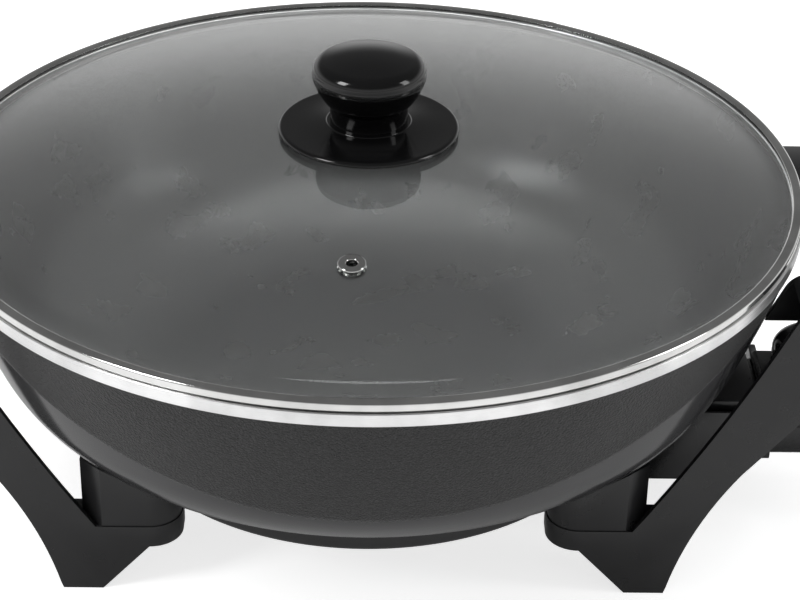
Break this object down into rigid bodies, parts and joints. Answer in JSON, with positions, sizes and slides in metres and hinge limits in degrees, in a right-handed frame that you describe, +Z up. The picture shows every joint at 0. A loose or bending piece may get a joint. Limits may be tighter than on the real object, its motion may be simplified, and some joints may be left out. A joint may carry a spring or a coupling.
{
  "type": "electric wok",
  "caption": "Electric wok: cast bowl on two side frames that are legs and handles, glass lift-off lid and plug-in heat control.",
  "frame": {"origin": "on the table, under the middle of the bowl", "axes": "+X towards the plug-in heat control, +Y away from the viewer of the picture, +Z up"},
  "size_m": [0.484, 0.364, 0.218],
  "materials": {
    "coated_casting": "charcoal non-stick coating, fine texture outside, bare rim",
    "cover_paint": "satin black paint",
    "element_sheath": "matt sheath",
    "nickel_pins": "nickel plated",
    "ceramic": "glazed ceramic",
    "plain_steel": "plain steel",
    "satin_black_plastic": "satin black heat-resistant moulding",
    "screw_steel": "zinc plated",
    "clear_glass": "clear toughened glass",
    "polished_steel": "polished stainless steel",
    "gloss_black_plastic": "gloss black heat-resistant moulding",
    "black_rubber": "matt",
    "contact_brass": "plain",
    "amber_lens": "clear amber"
  },
  "bodies": {
    "base": {"wok_bowl": "coated_casting", "base_cover": "cover_paint", "heating_element": "element_sheath", "terminal_pins": "nickel_pins", "terminal_beads": "ceramic", "probe_sleeve": "plain_steel", "probe_socket": "satin_black_plastic", "side_frame_right": "satin_black_plastic", "side_frame_left": "satin_black_plastic", "block_front_right": "satin_black_plastic", "block_rear_right": "satin_black_plastic", "block_front_left": "satin_black_plastic", "block_rear_left": "satin_black_plastic", "frame_screws": "screw_steel", "frame_washers": "screw_steel", "cover_screws": "screw_steel", "socket_screws": "screw_steel"},
    "lid": {"lid_glass": "clear_glass", "lid_ring": "polished_steel", "vent_grommet": "polished_steel", "knob_skirt": "gloss_black_plastic", "lid_knob": "gloss_black_plastic", "knob_screw": "screw_steel", "knob_gasket": "black_rubber", "knob_washer": "screw_steel", "knob_seal": "black_rubber"},
    "control": {"control_case_lower": "satin_black_plastic", "control_case_upper": "satin_black_plastic", "case_screws": "screw_steel", "probe_rod": "plain_steel", "contact_sleeves": "contact_brass", "switch_block": "ceramic", "switch_blades": "contact_brass", "bimetal_strip": "contact_brass", "pilot_lens": "amber_lens"},
    "dial": {"dial_knob": "gloss_black_plastic", "dial_spindle": "plain_steel"}
  },
  "joints": [
    {"name": "lid_lift", "type": "slide", "parent": "base", "child": "lid", "axis": [0, 0, 1], "range_m": [0, 0.12]},
    {"name": "control_unplug", "type": "slide", "parent": "base", "child": "control", "axis": [1, 0, 0], "range_m": [0, 0.11]},
    {"name": "dial_turn", "type": "hinge", "parent": "control", "child": "dial", "pos_m": [0.2, 0, 0.07], "axis": [0, 0, -1], "range_deg": [0, 270]}
  ]
}
